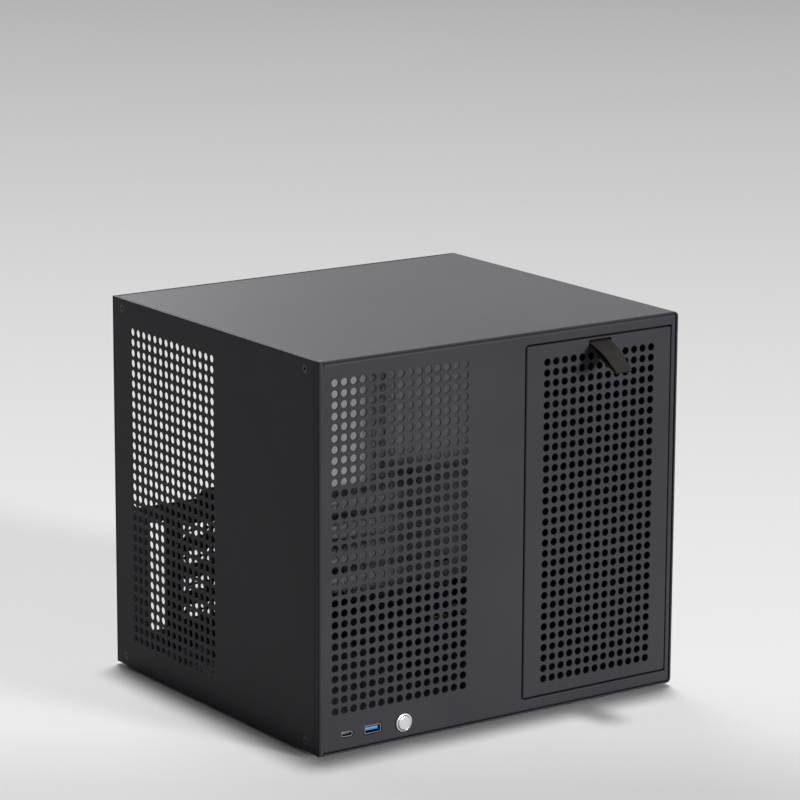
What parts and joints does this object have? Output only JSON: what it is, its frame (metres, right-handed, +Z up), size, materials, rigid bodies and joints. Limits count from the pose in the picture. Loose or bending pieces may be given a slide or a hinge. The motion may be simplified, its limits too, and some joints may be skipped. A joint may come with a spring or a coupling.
{
  "type": "nas case",
  "caption": "Black sheet-metal case for a small storage server, with punched vents, a tip-out door with a leather pull, a drive cage and an upright motherboard tray.",
  "frame": {"origin": "middle of the outer box, on the surface the feet stand on", "axes": "+Z up, -Y out of the front, +X to the right seen from the front"},
  "size_m": [0.3, 0.2985, 0.2725],
  "materials": {
    "black_paint": "matt powder coat",
    "inner_paint": "matt powder coat",
    "plain_steel": "plain",
    "zinc_plate": "zinc plated",
    "black_steel": "blackened",
    "satin_chrome": "satin",
    "brass": "plain",
    "leather": "smooth",
    "rubber": "matt",
    "blue_plastic": "moulded",
    "black_plastic": "moulded",
    "green_board": "lacquered"
  },
  "bodies": {
    "case": {"board_standoff_1": "brass", "board_standoff_2": "brass", "board_standoff_3": "brass", "board_standoff_4": "brass", "board_standoff_5": "brass", "board_standoff_6": "brass", "board_standoff_7": "brass", "board_standoff_8": "brass", "board_standoff_9": "brass", "door_magnet_left": "plain_steel", "door_magnet_right": "plain_steel", "drive_cage_left": "inner_paint", "drive_cage_right": "inner_paint", "foot_1": "rubber", "foot_2": "rubber", "foot_3": "rubber", "foot_4": "rubber", "front_panel": "black_paint", "io_board": "green_board", "io_bracket": "inner_paint", "left_panel": "black_paint", "left_panel_screw_1": "black_steel", "left_panel_screw_2": "black_steel", "left_panel_screw_3": "black_steel", "left_panel_screw_4": "black_steel", "motherboard_tray": "zinc_plate", "power_button_housing": "plain_steel", "power_button_nut": "plain_steel", "rear_panel": "black_paint", "rear_panel_screw_1": "black_steel", "rear_panel_screw_2": "black_steel", "rear_panel_screw_3": "black_steel", "rear_panel_screw_4": "black_steel", "rear_panel_screw_5": "black_steel", "rear_panel_screw_6": "black_steel", "shell": "black_paint", "slot_cover_1": "black_paint", "slot_cover_2": "black_paint", "slot_cover_3": "black_paint", "slot_cover_4": "black_paint", "slot_cover_screw_1": "black_steel", "slot_cover_screw_2": "black_steel", "slot_cover_screw_3": "black_steel", "slot_cover_screw_4": "black_steel", "usb_a_shell": "plain_steel", "usb_a_tongue": "blue_plastic", "usb_c_shell": "plain_steel", "usb_c_tongue": "black_plastic"},
    "door": {"door": "black_paint", "door_strap": "leather", "strap_bar": "plain_steel", "door_hinge_pin_left": "plain_steel", "door_hinge_pin_right": "plain_steel"},
    "button": {"power_button": "satin_chrome"}
  },
  "joints": [
    {"name": "door_tilt", "type": "hinge", "parent": "case", "child": "door", "pos_m": [0.0815, -0.1145, 0.0223], "axis": [1, 0, 0], "range_deg": [0, 80]},
    {"name": "power_button_press", "type": "slide", "parent": "case", "child": "button", "axis": [0, 1, 0], "range_m": [0, 0.001], "stiffness_N_per_m": 300}
  ]
}
